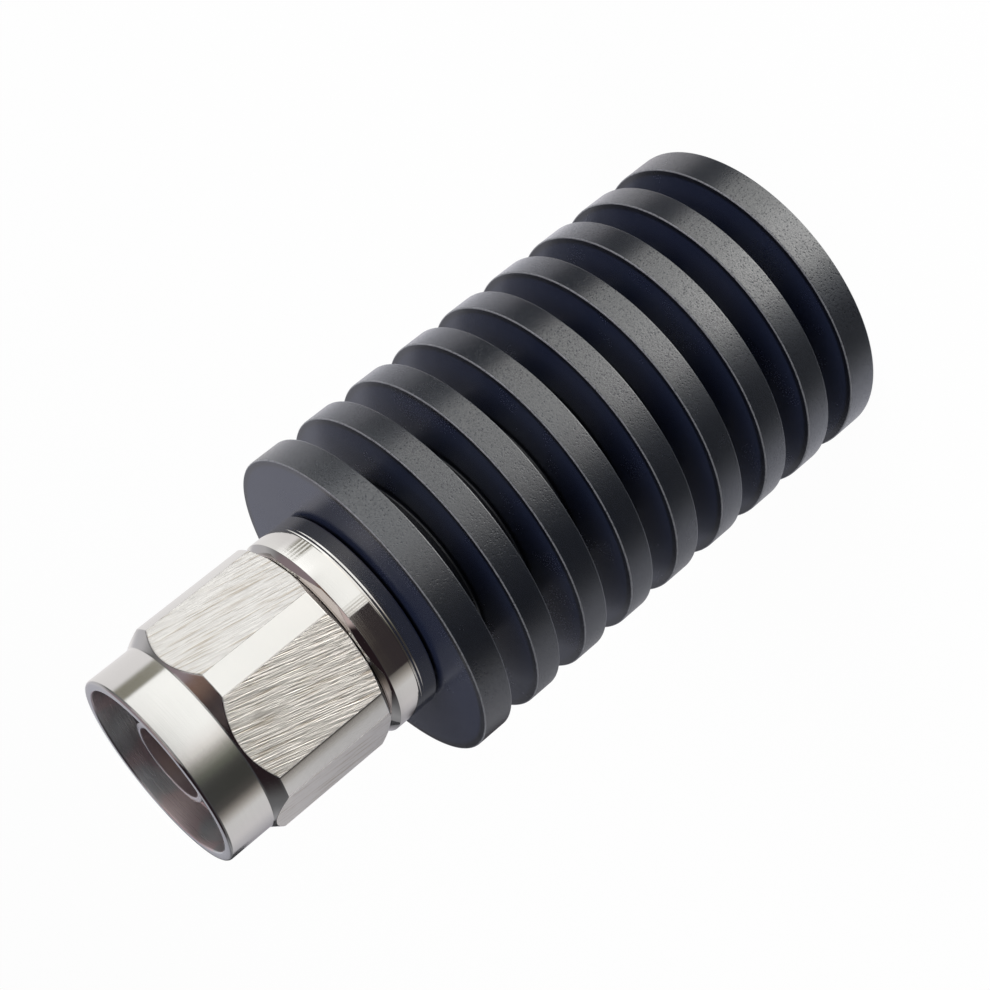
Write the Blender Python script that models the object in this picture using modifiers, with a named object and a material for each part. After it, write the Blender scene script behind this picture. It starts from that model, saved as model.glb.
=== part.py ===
"""A coaxial terminator: a plug with a coupling nut, and a resistor inside a finned heatsink.

Metres, +Z up. The part stands on the heatsink's rear face, whose centre is the origin, and the
plug points up. Every piece is turned about the Z axis. Heights are worked out along the stack:
the heatsink first, then the collar on it, the nut and its retaining ring, and the plug's contacts.
"""

import math

import bmesh
import bpy

# Room between pieces
SEAT_GAP = 0.0003        # between two faces that seat on each other
FIT_GAP = 0.00015        # round a piece that is pressed or screwed into another
NUT_CLEARANCE = 0.0003   # round everything that the nut turns past

# Heatsink
FIN_COUNT = 9
FIN = 0.00255            # thickness of an inner fin
END_FIN = 0.0030         # thickness of the first and the last fin
GROOVE = 0.0029
FIN_DEPTH = 0.00635
CORE_WALL = 0.0022       # between the bore and the groove floors
FIN_CHAMFER = 0.0002
BORE_CHAMFER = 0.0004

# Connector body: spigot in the heatsink, collar on its front, neck inside the nut
SPIGOT_RADIUS = 0.0063
SPIGOT_LENGTH = 0.0130
SPIGOT_CHAMFER = 0.0005
COLLAR_SETBACK = 0.0004  # from the nut's corners in to the collar
COLLAR_LENGTH = 0.0044
COLLAR_FOOT_CHAMFER = 0.0002
COLLAR_CHAMFER = 0.0004
COLLAR_STEP = 0.0004     # from the collar's front chamfer in to its low step
STEP_HEIGHT = 0.00025
NECK_WALL = 0.00145      # round the outer contact's flange
RING_LAND = 0.00145      # from the ring's groove to the front shoulder
RING_GROOVE_DEPTH = 0.0007

# Coupling nut
NUT_LIP = 0.0020         # inner lip that the retaining ring holds
NUT_BACK_GAP = 0.0003
FLAT_WALL = 0.00135      # from the cavity out to a hex flat
CORNER_HEIGHT = 0.0008   # by which the turned corners stand over the flats
REAR_CHAMFER_LENGTH = 0.00055
FRONT_CONE_LENGTH = 0.0013
SLEEVE_LENGTH = 0.00435  # round front part
SLEEVE_EDGE = 0.0002
MOUTH_RADIUS = 0.00815
MOUTH_WALL = 0.00095
MOUTH_DEPTH = 0.0026
MOUTH_CHAMFER = 0.00015
THREAD_RADIUS = 0.0074   # crests of the internal thread
THREAD_LENGTH = 0.0070
HEX_SIDES = 6
NUT_TURN = math.radians(-15.7)

# Retaining ring and gasket
RING_THICKNESS = 0.0009
RING_PLAY = 0.00015      # each side of the ring in its groove
RING_CATCH = 0.0007      # by which the ring stands over the nut's lip
RING_MOUTH = 0.0024      # width of the ring's gap
GASKET_THICKNESS = 0.0013
GASKET_WIDTH = 0.0024
GASKET_ROUND = 0.0003

# Contacts of the plug
CONTACT_BORE = 0.0035
CONTACT_WALL = 0.00055
CONTACT_EDGE = 0.0001
FLANGE_WIDTH = 0.00095
FLANGE_THICKNESS = 0.0017
INTERFACE_DEPTH = 0.00895   # from the gasket to the outer contact's end
CONTACT_RECESS = 0.0012     # from the nut's front back to the outer contact's end
PIN_RADIUS = 0.000825
PIN_RECESS = 0.0010
PIN_SHOULDER_DEPTH = 0.00555
PIN_NECK_RADIUS = 0.0010
STUD_RADIUS = 0.0007
STUD_LENGTH = 0.0029
CONDUCTOR_RADIUS = 0.00152
CONDUCTOR_LENGTH = 0.0098
CONDUCTOR_CHAMFER = 0.00015
BEAD_WIDTH = 0.0029
BEAD_THICKNESS = 0.0029

# Resistor and what holds it
ROD_RADIUS = 0.0020
CAP_WALL = 0.0003
CAP_END = 0.0006
CAP_LENGTH = 0.0036
NOSE_RADIUS = 0.0007
NOSE_LENGTH = 0.0029
TAPER_LENGTH = 0.01675
GROUND_LENGTH = 0.0070
GROUND_FLOOR = 0.0012
SLOT_WIDTH = 0.0008
SLOT_DEPTH = 0.0050
SLOT_COUNT = 2           # cuts right across, so twice as many fingers

# Roundness of what is turned
LARGE_STEPS = 48
SMALL_STEPS = 32
ARC_STEPS = 4
SHARP_ANGLE = math.radians(30)
MERGE_DISTANCE = 0.000001
CUT_MARGIN = 0.001       # by which a cutter reaches past what it cuts

# Radii, from the inside out
contact_radius = CONTACT_BORE + CONTACT_WALL
flange_radius = contact_radius + FLANGE_WIDTH
flange_pocket = flange_radius + FIT_GAP
neck_radius = flange_pocket + NECK_WALL
ring_groove_radius = neck_radius - RING_GROOVE_DEPTH
bead_bore = PIN_NECK_RADIUS + FIT_GAP
bead_radius = bead_bore + BEAD_WIDTH
bead_pocket = bead_radius + FIT_GAP
gasket_bore = contact_radius + SEAT_GAP
gasket_radius = gasket_bore + GASKET_WIDTH
lip_bore = neck_radius + NUT_CLEARANCE
ring_bore = ring_groove_radius + FIT_GAP
ring_radius = lip_bore + RING_CATCH
cavity_radius = ring_radius + NUT_CLEARANCE
flat_distance = cavity_radius + FLAT_WALL
corner_radius = flat_distance + CORNER_HEIGHT
collar_radius = corner_radius - COLLAR_SETBACK
sleeve_radius = MOUTH_RADIUS + MOUTH_WALL
bore_radius = SPIGOT_RADIUS + FIT_GAP
core_radius = bore_radius + CORE_WALL
heatsink_radius = core_radius + FIN_DEPTH
cap_bore = ROD_RADIUS + FIT_GAP
cap_radius = cap_bore + CAP_WALL
ground_bore = cap_radius + FIT_GAP

# Heights along the stack, from the heatsink's front face towards the plug
heatsink_length = 2 * END_FIN + (FIN_COUNT - 2) * FIN + (FIN_COUNT - 1) * GROOVE
collar_foot = heatsink_length + SEAT_GAP
collar_front = collar_foot + COLLAR_LENGTH
step_front = collar_front + STEP_HEIGHT
nut_rear = step_front + NUT_BACK_GAP
lip_front = nut_rear + NUT_LIP
ring_rear = lip_front + NUT_CLEARANCE
ring_front = ring_rear + RING_THICKNESS
shoulder = ring_front + RING_PLAY + RING_LAND
flange_seat = shoulder - FLANGE_THICKNESS - SEAT_GAP
bead_front = flange_seat
bead_rear = bead_front - BEAD_THICKNESS
bead_seat = bead_rear - SEAT_GAP
gasket_rear = shoulder + SEAT_GAP
gasket_front = gasket_rear + GASKET_THICKNESS
contact_front = gasket_front + INTERFACE_DEPTH
nut_front = contact_front + CONTACT_RECESS
sleeve_rear = nut_front - SLEEVE_LENGTH
hex_front = sleeve_rear - FRONT_CONE_LENGTH
thread_front = nut_front - MOUTH_DEPTH
thread_rear = thread_front - THREAD_LENGTH
pin_tip = contact_front - PIN_RECESS
pin_shoulder = contact_front - PIN_SHOULDER_DEPTH

# Heights along the stack, from the collar down into the heatsink's bore
spigot_rear = collar_foot - SPIGOT_LENGTH
taper_front = spigot_rear - SEAT_GAP
taper_rear = taper_front - TAPER_LENGTH
ground_front = taper_rear - SEAT_GAP
ground_rear = ground_front - GROUND_LENGTH
bore_floor = ground_rear - SEAT_GAP
conductor_front = bead_rear - SEAT_GAP
conductor_rear = conductor_front - CONDUCTOR_LENGTH
front_cap_end = conductor_rear - SEAT_GAP
rod_front = front_cap_end - CAP_END - SEAT_GAP
rear_cap_end = ground_rear + GROUND_FLOOR + SEAT_GAP
rod_rear = rear_cap_end + CAP_END + SEAT_GAP


def new_collection(name):
    """A new collection in the scene."""
    collection = bpy.data.collections.new(name)
    bpy.context.scene.collection.children.link(collection)
    return collection


def new_material(name, color, roughness, metallic):
    """A Principled material with one colour."""
    material = bpy.data.materials.new(name)
    material.use_nodes = True
    shader = material.node_tree.nodes["Principled BSDF"]
    shader.inputs["Base Color"].default_value = (*color, 1.0)
    shader.inputs["Roughness"].default_value = roughness
    shader.inputs["Metallic"].default_value = metallic
    material.diffuse_color = (*color, 1.0)
    return material


def arc(centre_radius, centre_height, radius, start, end):
    """Points of a round stretch of an outline, between two angles in degrees from +X."""
    points = []
    for step in range(ARC_STEPS + 1):
        angle = math.radians(start + (end - start) * step / ARC_STEPS)
        points.append((centre_radius + radius * math.cos(angle), centre_height + radius * math.sin(angle)))
    return points


def shade(part):
    """Give a part its evaluated mesh, smooth across shallow edges and sharp across the others."""
    evaluated = part.evaluated_get(bpy.context.evaluated_depsgraph_get())
    mesh = bpy.data.meshes.new_from_object(evaluated)
    part.modifiers.clear()
    part.data = mesh
    mesh.name = part.name
    mesh.shade_smooth()
    mesh.set_sharp_from_angle(angle=SHARP_ANGLE)


def turned(name, outline, material, steps):
    """A piece turned about Z from an outline of (radius, height) points.

    The outline runs down the outer side. It closes on itself round a bore, and is open where both
    its ends lie on the axis.
    """
    shape = bmesh.new()
    corners = [shape.verts.new((radius, 0, height)) for radius, height in outline]
    for corner, following in zip(corners, corners[1:]):
        shape.edges.new((corner, following))
    on_axis = outline[0][0] == 0 and outline[-1][0] == 0
    if not on_axis:
        shape.edges.new((corners[-1], corners[0]))
    mesh = bpy.data.meshes.new(name)
    shape.to_mesh(mesh)
    shape.free()
    mesh.materials.append(material)
    part = bpy.data.objects.new(name, mesh)
    parts.objects.link(part)
    screw = part.modifiers.new("Turn", "SCREW")
    screw.axis = "Z"
    screw.angle = math.tau
    screw.steps = steps
    screw.render_steps = steps
    screw.use_merge_vertices = True
    screw.merge_threshold = MERGE_DISTANCE
    shade(part)
    return part


def cutter(name, shape, owner):
    """A guide shape that follows the part it cuts."""
    mesh = bpy.data.meshes.new(name)
    shape.to_mesh(mesh)
    shape.free()
    guide = bpy.data.objects.new(name, mesh)
    guide.hide_render = True
    guide.display_type = "WIRE"
    guide.parent = owner
    cutters.objects.link(guide)
    return guide


def box(width, depth, height):
    """A box centred on its origin."""
    shape = bmesh.new()
    bmesh.ops.create_cube(shape, size=1.0)
    bmesh.ops.scale(shape, vec=(width, depth, height), verts=shape.verts)
    return shape


def cut(part, guide, operation="DIFFERENCE"):
    """Cut a part with a guide, or keep only what lies in it."""
    boolean = part.modifiers.new(guide.name, "BOOLEAN")
    boolean.operation = operation
    boolean.object = guide
    boolean.solver = "EXACT"


def fin(front, thickness):
    """Outline of one fin's edge, from its front face round to its rear face."""
    rear = front - thickness
    return [
        (heatsink_radius - FIN_CHAMFER, front),
        (heatsink_radius, front - FIN_CHAMFER),
        (heatsink_radius, rear + FIN_CHAMFER),
        (heatsink_radius - FIN_CHAMFER, rear),
    ]


def make_heatsink(material):
    """Finned cylinder, bored from the front and closed at the rear."""
    outline = [
        (0, bore_floor),
        (bore_radius, bore_floor),
        (bore_radius, heatsink_length - BORE_CHAMFER),
        (bore_radius + BORE_CHAMFER, heatsink_length),
    ]
    outline += fin(heatsink_length, END_FIN)
    front = heatsink_length - END_FIN
    for index in range(1, FIN_COUNT):
        thickness = END_FIN if index == FIN_COUNT - 1 else FIN
        outline += [(core_radius, front), (core_radius, front - GROOVE)]
        front -= GROOVE
        outline += fin(front, thickness)
        front -= thickness
    outline.append((0, 0))
    return turned("heatsink", outline, material, LARGE_STEPS)


def make_connector_body(material):
    """Spigot, collar and neck in one piece, with the seats of the plug's contacts in its bore."""
    step_radius = collar_radius - COLLAR_CHAMFER - COLLAR_STEP
    outline = [
        (flange_pocket, shoulder),
        (neck_radius, shoulder),
        (neck_radius, ring_front + RING_PLAY),
        (ring_groove_radius, ring_front + RING_PLAY),
        (ring_groove_radius, ring_rear - RING_PLAY),
        (neck_radius, ring_rear - RING_PLAY),
        (neck_radius, step_front),
        (step_radius, step_front),
        (step_radius, collar_front),
        (collar_radius - COLLAR_CHAMFER, collar_front),
        (collar_radius, collar_front - COLLAR_CHAMFER),
        (collar_radius, collar_foot + COLLAR_FOOT_CHAMFER),
        (collar_radius - COLLAR_FOOT_CHAMFER, collar_foot),
        (SPIGOT_RADIUS, collar_foot),
        (SPIGOT_RADIUS, spigot_rear + SPIGOT_CHAMFER),
        (SPIGOT_RADIUS - SPIGOT_CHAMFER, spigot_rear),
        (CONTACT_BORE, spigot_rear),
        (CONTACT_BORE, bead_seat),
        (bead_pocket, bead_seat),
        (bead_pocket, flange_seat),
        (flange_pocket, flange_seat),
    ]
    return turned("connector_body", outline, material, LARGE_STEPS)


def make_coupling_nut(material):
    """Hex nut with corners turned round, coned into a round front sleeve."""
    outline = [
        (sleeve_radius - SLEEVE_EDGE, nut_front),
        (sleeve_radius, nut_front - SLEEVE_EDGE),
        (sleeve_radius, sleeve_rear),
        (corner_radius, hex_front),
        (corner_radius, nut_rear + REAR_CHAMFER_LENGTH),
        (flat_distance, nut_rear),
        (lip_bore, nut_rear),
        (lip_bore, lip_front),
        (cavity_radius, lip_front),
        (cavity_radius, thread_rear),
        (THREAD_RADIUS, thread_rear),
        (THREAD_RADIUS, thread_front),
        (MOUTH_RADIUS, thread_front),
        (MOUTH_RADIUS, nut_front - MOUTH_CHAMFER),
        (MOUTH_RADIUS + MOUTH_CHAMFER, nut_front),
    ]
    nut = turned("coupling_nut", outline, material, LARGE_STEPS)
    nut.rotation_euler.z = NUT_TURN
    bar = bmesh.new()
    bmesh.ops.create_cone(
        bar, cap_ends=True, segments=HEX_SIDES, depth=nut_front - nut_rear + 2 * CUT_MARGIN,
        radius1=flat_distance / math.cos(math.pi / HEX_SIDES),
        radius2=flat_distance / math.cos(math.pi / HEX_SIDES))
    hex_bar = cutter("hex_bar", bar, nut)
    hex_bar.location.z = (nut_rear + nut_front) / 2
    hex_bar.rotation_euler.z = math.pi / HEX_SIDES
    cut(nut, hex_bar, "INTERSECT")
    return nut


def make_retaining_ring(material):
    """Split ring in the neck's groove, which holds the nut's lip."""
    outline = [
        (ring_radius, ring_front),
        (ring_radius, ring_rear),
        (ring_bore, ring_rear),
        (ring_bore, ring_front),
    ]
    ring = turned("retaining_ring", outline, material, LARGE_STEPS)
    gap = cutter("ring_gap", box(2 * ring_radius, RING_MOUTH, RING_THICKNESS + 2 * CUT_MARGIN), ring)
    gap.location = (ring_radius, 0, (ring_rear + ring_front) / 2)
    cut(ring, gap)
    return ring


def make_interface_gasket(material):
    """Flat soft ring on the body's shoulder, round the outer contact."""
    outline = (
        arc(gasket_radius - GASKET_ROUND, gasket_front - GASKET_ROUND, GASKET_ROUND, 90, 0)
        + [(gasket_radius, gasket_rear), (gasket_bore, gasket_rear)]
        + arc(gasket_bore + GASKET_ROUND, gasket_front - GASKET_ROUND, GASKET_ROUND, 180, 90)
    )
    return turned("interface_gasket", outline, material, SMALL_STEPS)


def make_outer_contact(material):
    """Thin sleeve with a flange that seats in the body's front pocket."""
    flange_rear = flange_seat + SEAT_GAP
    outline = [
        (contact_radius - CONTACT_EDGE, contact_front),
        (contact_radius, contact_front - CONTACT_EDGE),
        (contact_radius, shoulder),
        (flange_radius, shoulder),
        (flange_radius, flange_rear),
        (CONTACT_BORE, flange_rear),
        (CONTACT_BORE, contact_front - CONTACT_EDGE),
        (CONTACT_BORE + CONTACT_EDGE, contact_front),
    ]
    return turned("outer_contact", outline, material, SMALL_STEPS)


def make_center_pin(material):
    """Pin with a round nose, a neck through the bead and a stud behind it."""
    stud_rear = conductor_front - STUD_LENGTH
    outline = (
        arc(0, pin_tip - PIN_RADIUS, PIN_RADIUS, 90, 0)
        + [
            (PIN_RADIUS, pin_shoulder),
            (CONDUCTOR_RADIUS - CONDUCTOR_CHAMFER, pin_shoulder),
            (CONDUCTOR_RADIUS, pin_shoulder - CONDUCTOR_CHAMFER),
            (CONDUCTOR_RADIUS, bead_front + SEAT_GAP),
            (PIN_NECK_RADIUS, bead_front + SEAT_GAP),
            (PIN_NECK_RADIUS, conductor_front + SEAT_GAP),
            (STUD_RADIUS, conductor_front + SEAT_GAP),
            (STUD_RADIUS, stud_rear),
            (0, stud_rear),
        ]
    )
    outline[0] = (0, pin_tip)
    return turned("center_pin", outline, material, SMALL_STEPS)


def make_inner_conductor(material):
    """Rod behind the bead, bored at the front for the pin's stud and at the rear for the cap's nose."""
    stud_floor = conductor_front - STUD_LENGTH - SEAT_GAP
    nose_floor = front_cap_end + NOSE_LENGTH + SEAT_GAP
    stud_bore = STUD_RADIUS + FIT_GAP
    nose_bore = NOSE_RADIUS + FIT_GAP
    outline = [
        (0, stud_floor),
        (stud_bore, stud_floor),
        (stud_bore, conductor_front),
        (CONDUCTOR_RADIUS - CONDUCTOR_CHAMFER, conductor_front),
        (CONDUCTOR_RADIUS, conductor_front - CONDUCTOR_CHAMFER),
        (CONDUCTOR_RADIUS, conductor_rear + CONDUCTOR_CHAMFER),
        (CONDUCTOR_RADIUS - CONDUCTOR_CHAMFER, conductor_rear),
        (nose_bore, conductor_rear),
        (nose_bore, nose_floor),
        (0, nose_floor),
    ]
    return turned("inner_conductor", outline, material, SMALL_STEPS)


def make_support_bead(material):
    """Insulating washer that centres the pin in the body."""
    outline = [
        (bead_radius, bead_front),
        (bead_radius, bead_rear),
        (bead_bore, bead_rear),
        (bead_bore, bead_front),
    ]
    return turned("support_bead", outline, material, SMALL_STEPS)


def make_resistor_rod(material):
    """Film resistor on a ceramic rod."""
    outline = [(0, rod_front), (ROD_RADIUS, rod_front), (ROD_RADIUS, rod_rear), (0, rod_rear)]
    return turned("resistor_rod", outline, material, SMALL_STEPS)


def make_front_cap(material):
    """Cup on the rod's front end, with a nose that plugs into the inner conductor."""
    nose_front = front_cap_end + NOSE_LENGTH
    outline = [
        (0, nose_front),
        (NOSE_RADIUS, nose_front),
        (NOSE_RADIUS, front_cap_end),
        (cap_radius, front_cap_end),
        (cap_radius, front_cap_end - CAP_LENGTH),
        (cap_bore, front_cap_end - CAP_LENGTH),
        (cap_bore, front_cap_end - CAP_END),
        (0, front_cap_end - CAP_END),
    ]
    return turned("resistor_front_cap", outline, material, SMALL_STEPS)


def make_rear_cap(material):
    """Cup on the rod's rear end, which seats in the ground contact."""
    outline = [
        (0, rear_cap_end + CAP_END),
        (cap_bore, rear_cap_end + CAP_END),
        (cap_bore, rear_cap_end + CAP_LENGTH),
        (cap_radius, rear_cap_end + CAP_LENGTH),
        (cap_radius, rear_cap_end),
        (0, rear_cap_end),
    ]
    return turned("resistor_rear_cap", outline, material, SMALL_STEPS)


def make_taper_sleeve(material):
    """Liner of the heatsink's bore, which narrows round the resistor towards its grounded end."""
    outline = [
        (SPIGOT_RADIUS, taper_front),
        (SPIGOT_RADIUS, taper_rear),
        (ground_bore, taper_rear),
        (CONTACT_BORE, taper_front),
    ]
    return turned("taper_sleeve", outline, material, SMALL_STEPS)


def make_ground_contact(material):
    """Slotted cup at the foot of the bore, whose fingers hold the rear cap."""
    cup_floor = ground_rear + GROUND_FLOOR
    outline = [
        (0, cup_floor),
        (ground_bore, cup_floor),
        (ground_bore, ground_front),
        (SPIGOT_RADIUS, ground_front),
        (SPIGOT_RADIUS, ground_rear),
        (0, ground_rear),
    ]
    contact = turned("ground_contact", outline, material, SMALL_STEPS)
    for index in range(SLOT_COUNT):
        reach = 2 * SPIGOT_RADIUS + 2 * CUT_MARGIN
        slot = cutter(f"ground_slot_{index + 1}", box(reach, SLOT_WIDTH, SLOT_DEPTH + CUT_MARGIN), contact)
        slot.location.z = ground_front - SLOT_DEPTH + (SLOT_DEPTH + CUT_MARGIN) / 2
        slot.rotation_euler.z = math.pi * index / SLOT_COUNT
        cut(contact, slot)
    return contact


for old in list(bpy.data.objects):
    bpy.data.objects.remove(old, do_unlink=True)
parts = new_collection("coaxial_terminator")
cutters = new_collection("cutters")

make_heatsink(new_material("black_anodised", (0.02, 0.021, 0.024), 0.42, 0.6))
make_connector_body(new_material("body_nickel", (0.72, 0.70, 0.66), 0.16, 1.0))
make_coupling_nut(new_material("nut_nickel", (0.74, 0.72, 0.68), 0.22, 1.0))
make_retaining_ring(new_material("spring_bronze", (0.55, 0.36, 0.20), 0.35, 1.0))
make_interface_gasket(new_material("red_silicone", (0.45, 0.05, 0.03), 0.6, 0.0))
make_outer_contact(new_material("contact_nickel", (0.76, 0.74, 0.70), 0.15, 1.0))
make_center_pin(new_material("pin_gold", (0.83, 0.60, 0.24), 0.2, 1.0))
make_inner_conductor(new_material("conductor_gold", (0.80, 0.57, 0.24), 0.25, 1.0))
make_support_bead(new_material("white_insulator", (0.86, 0.86, 0.84), 0.5, 0.0))
make_resistor_rod(new_material("resistor_film", (0.10, 0.08, 0.07), 0.55, 0.0))
make_front_cap(new_material("front_cap_silver", (0.75, 0.75, 0.73), 0.3, 1.0))
make_rear_cap(new_material("rear_cap_silver", (0.75, 0.75, 0.73), 0.3, 1.0))
make_taper_sleeve(new_material("sleeve_brass", (0.62, 0.47, 0.22), 0.3, 1.0))
make_ground_contact(new_material("ground_brass", (0.60, 0.45, 0.21), 0.3, 1.0))
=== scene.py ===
"""Looks of the coaxial terminator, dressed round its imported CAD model.

Metres, +Z up, in the model's own frame: the part stands on the heatsink's rear face and the plug
points up. Sizes that the model gives are read from it. The others repeat the model's sizes, where a
finer piece replaces a node.
"""

import math

import bmesh
import bpy
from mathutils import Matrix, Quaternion, Vector


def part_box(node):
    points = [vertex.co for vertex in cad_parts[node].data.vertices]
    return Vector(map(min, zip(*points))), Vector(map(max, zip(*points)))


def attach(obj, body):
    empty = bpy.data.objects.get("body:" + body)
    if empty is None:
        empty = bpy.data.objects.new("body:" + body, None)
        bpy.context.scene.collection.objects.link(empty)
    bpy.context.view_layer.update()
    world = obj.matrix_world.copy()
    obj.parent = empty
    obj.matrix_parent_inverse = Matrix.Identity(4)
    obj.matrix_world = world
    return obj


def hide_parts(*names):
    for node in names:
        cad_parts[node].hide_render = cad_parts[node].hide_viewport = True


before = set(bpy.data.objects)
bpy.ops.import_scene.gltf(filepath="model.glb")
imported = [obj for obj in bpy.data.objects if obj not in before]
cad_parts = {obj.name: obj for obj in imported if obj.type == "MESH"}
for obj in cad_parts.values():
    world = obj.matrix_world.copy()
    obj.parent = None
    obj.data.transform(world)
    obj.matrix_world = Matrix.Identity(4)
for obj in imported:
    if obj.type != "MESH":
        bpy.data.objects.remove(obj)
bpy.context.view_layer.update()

# Camera of the photograph, which has 990 by 990 pixels
CAMERA_POSITION = Vector((0.179722, 0.0, 0.102307))
CAMERA_AIM = Vector((0.0, 0.000219, 0.031442))
CAMERA_ROLL = math.radians(-129.04)
CAMERA_LENS = 82.05
CAMERA_SENSOR = 36.0
CAMERA_NEAR = 0.005
CAMERA_FAR = 20.0

# Heatsink
FIN_COUNT = 9
FIN = 0.00255
END_FIN = 0.0030
GROOVE = 0.0029
FIN_DEPTH = 0.00635
FIN_ROUND = 0.00014
GROOVE_ROUND = 0.00025
BORE_RADIUS = 0.00645
BORE_FLOOR = 0.0097
BORE_ROUND = 0.0003

# Connector body
COLLAR_FRONT = 0.05195    # nearer the nut than in the solids, as the photograph's narrow gap shows
COLLAR_CHAMFER = 0.0006
COLLAR_ROUND = 0.00006
COLLAR_FOOT_ROUND = 0.00022
COLLAR_SHADE_INSET = 0.00015     # from the front chamfer in to where the plating is rougher and painted dark as shade in the gap under the nut
RING_PITCH = 0.00032      # turned rings near the collar's foot
RINGS_FRONT = 0.0493
RINGS_REAR = 0.0485
RINGS_FADE = 0.00025
RINGS_DEPTH = 6.0         # times the depth of the tool lines
NECK_RADIUS = 0.0066
RING_GROOVE_RADIUS = 0.0059
RING_GROOVE_REAR = 0.05445
RING_GROOVE_FRONT = 0.05565
SPIGOT_RADIUS = 0.0063
SPIGOT_CHAMFER = 0.0005
FLANGE_POCKET_RADIUS = 0.00515
FLANGE_SEAT = 0.0551
BEAD_POCKET_RADIUS = 0.0042
BEAD_SEAT = 0.0519

# Coupling nut
NUT_TURN = math.radians(-15.7)
HEX_SIDES = 6
FLAT_DISTANCE = 0.00925
CORNER_RADIUS = 0.01005
SLEEVE_RADIUS = 0.0091
SLEEVE_LENGTH = 0.00435
FRONT_CONE_LENGTH = 0.0013
REAR_CHAMFER_LENGTH = 0.00050
NUT_BACK_GAP = 0.00015   # the real gap to the collar, where the solids keep a wider one
NUT_REAR_EDGE = 0.00012
LIP_BORE = 0.0069
LIP_FRONT = 0.0543
CAVITY_RADIUS = 0.0079
MOUTH_RADIUS = 0.00815
MOUTH_DEPTH = 0.0026
NUT_INSIDE = 0.00822     # nearer the axis than this, the nut's plating is rougher and painted with a mottle that stands in for reflections
NUT_FRONT_EDGE = 0.00026
NUT_EDGE = 0.00016
NUT_FINE_EDGE = 0.00006
HEX_BLEND = 0.00005      # rounds the edges between the flats and what is turned
CONE_FILLET = 0.0003
CONE_MARGIN = 1.5        # rows of faces stay this many times a fillet's reach away from the cone's ends
HEX_ROW = 0.00005        # height of a row of faces where the flats end in arcs
HEX_FINE_ROW = 0.000025
THREAD_LENGTH = 0.0070
THREAD_CREST_RADIUS = 0.0074
THREAD_PITCH = 0.0254 / 24
THREAD_CREST_SHARE = 0.14
THREAD_ROOT_SHARE = 0.86
THREAD_SUNK = 0.00002    # how far the ridge's root reaches into the nut's wall
THREAD_FADES = 3         # the ridge fades in over one turn divided by this
THREAD_LEAST = 0.02      # share of its height at its two ends

# Contacts and gasket of the plug
CONTACT_BORE = 0.0035
CONTACT_RADIUS = 0.00405
CONTACT_EDGE = 0.00008
CONTACT_DULL = 0.00002   # how far out from the bore the plating is dull
PIN_RADIUS = 0.000825
PIN_SHOULDER = 0.0621
PIN_FILLET = 0.00015
PIN_NECK_RADIUS = 0.0010
STUD_RADIUS = 0.0007
CONDUCTOR_RADIUS = 0.00152
BEAD_FRONT = 0.0551
STUD_FRONT = 0.0522
GASKET_ROUND = 0.0004
SEAT_GAP = 0.0003        # between two faces that seat on each other

# Stage
STUDIO_RADIUS = 0.9
STUDIO_LEVEL = 0.05
FLAG_X = -0.05
FLAG_NEAR = -0.004
FLAG_FAR = -0.042
FLAG_LOW = 0.0580
FLAG_HIGH = 0.0735
FLOOR_REACH = 3.0
FLOOR_LEVEL = -0.0001
LAMP_AIM = Vector((0, 0, 0.035))

# Fineness of what is made here
TURN_STEPS = 256
NUT_STEPS = 720
SMALL_STEPS = 128
THREAD_STEPS = 120       # for each turn
ARC_STEPS = 4
NOSE_STEPS = 8
STUDIO_STEPS = 48
SHARP_ANGLE = math.radians(32)

heatsink_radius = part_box("heatsink")[1].x
heatsink_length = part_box("heatsink")[1].z
core_radius = heatsink_radius - FIN_DEPTH
collar_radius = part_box("connector_body")[1].x
collar_foot = heatsink_length + SEAT_GAP
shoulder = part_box("connector_body")[1].z
spigot_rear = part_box("connector_body")[0].z
nut_back = COLLAR_FRONT + NUT_BACK_GAP
nut_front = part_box("coupling_nut")[1].z
sleeve_rear = nut_front - SLEEVE_LENGTH
hex_front = sleeve_rear - FRONT_CONE_LENGTH
thread_front = nut_front - MOUTH_DEPTH
thread_rear = thread_front - THREAD_LENGTH
contact_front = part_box("outer_contact")[1].z
contact_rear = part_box("outer_contact")[0].z
flange_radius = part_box("outer_contact")[1].x
pin_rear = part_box("center_pin")[0].z
pin_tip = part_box("center_pin")[1].z
gasket_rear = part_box("interface_gasket")[0].z
gasket_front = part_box("interface_gasket")[1].z
gasket_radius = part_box("interface_gasket")[1].x
gasket_bore = CONTACT_RADIUS + SEAT_GAP
bead_face = BEAD_FRONT + SEAT_GAP


def rounded(corners, closed):
    """Points (radius, height, edge) of an outline whose corners are (radius, height, fillet radius).

    A fillet becomes an arc, and edge runs from 0 at the arc's ends to 1 at its middle.
    """
    points = []
    for index, (radius, height, fillet) in enumerate(corners):
        outer = not closed and index in (0, len(corners) - 1)
        if fillet == 0 or outer:
            points.append((radius, height, 0.0))
            continue
        corner = Vector((radius, height))
        before = (Vector(corners[index - 1][:2]) - corner).normalized()
        after = (Vector(corners[(index + 1) % len(corners)][:2]) - corner).normalized()
        half = before.angle(after) / 2
        centre = corner + (before + after).normalized() * fillet / math.sin(half)
        start = corner + before * fillet / math.tan(half) - centre
        end = corner + after * fillet / math.tan(half) - centre
        first = math.atan2(start.y, start.x)
        sweep = (math.atan2(end.y, end.x) - first + math.pi) % math.tau - math.pi
        for step in range(ARC_STEPS + 1):
            share = step / ARC_STEPS
            angle = first + sweep * share
            points.append((centre.x + fillet * math.cos(angle), centre.y + fillet * math.sin(angle),
                           math.sin(math.pi * share)))
    return points


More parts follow.
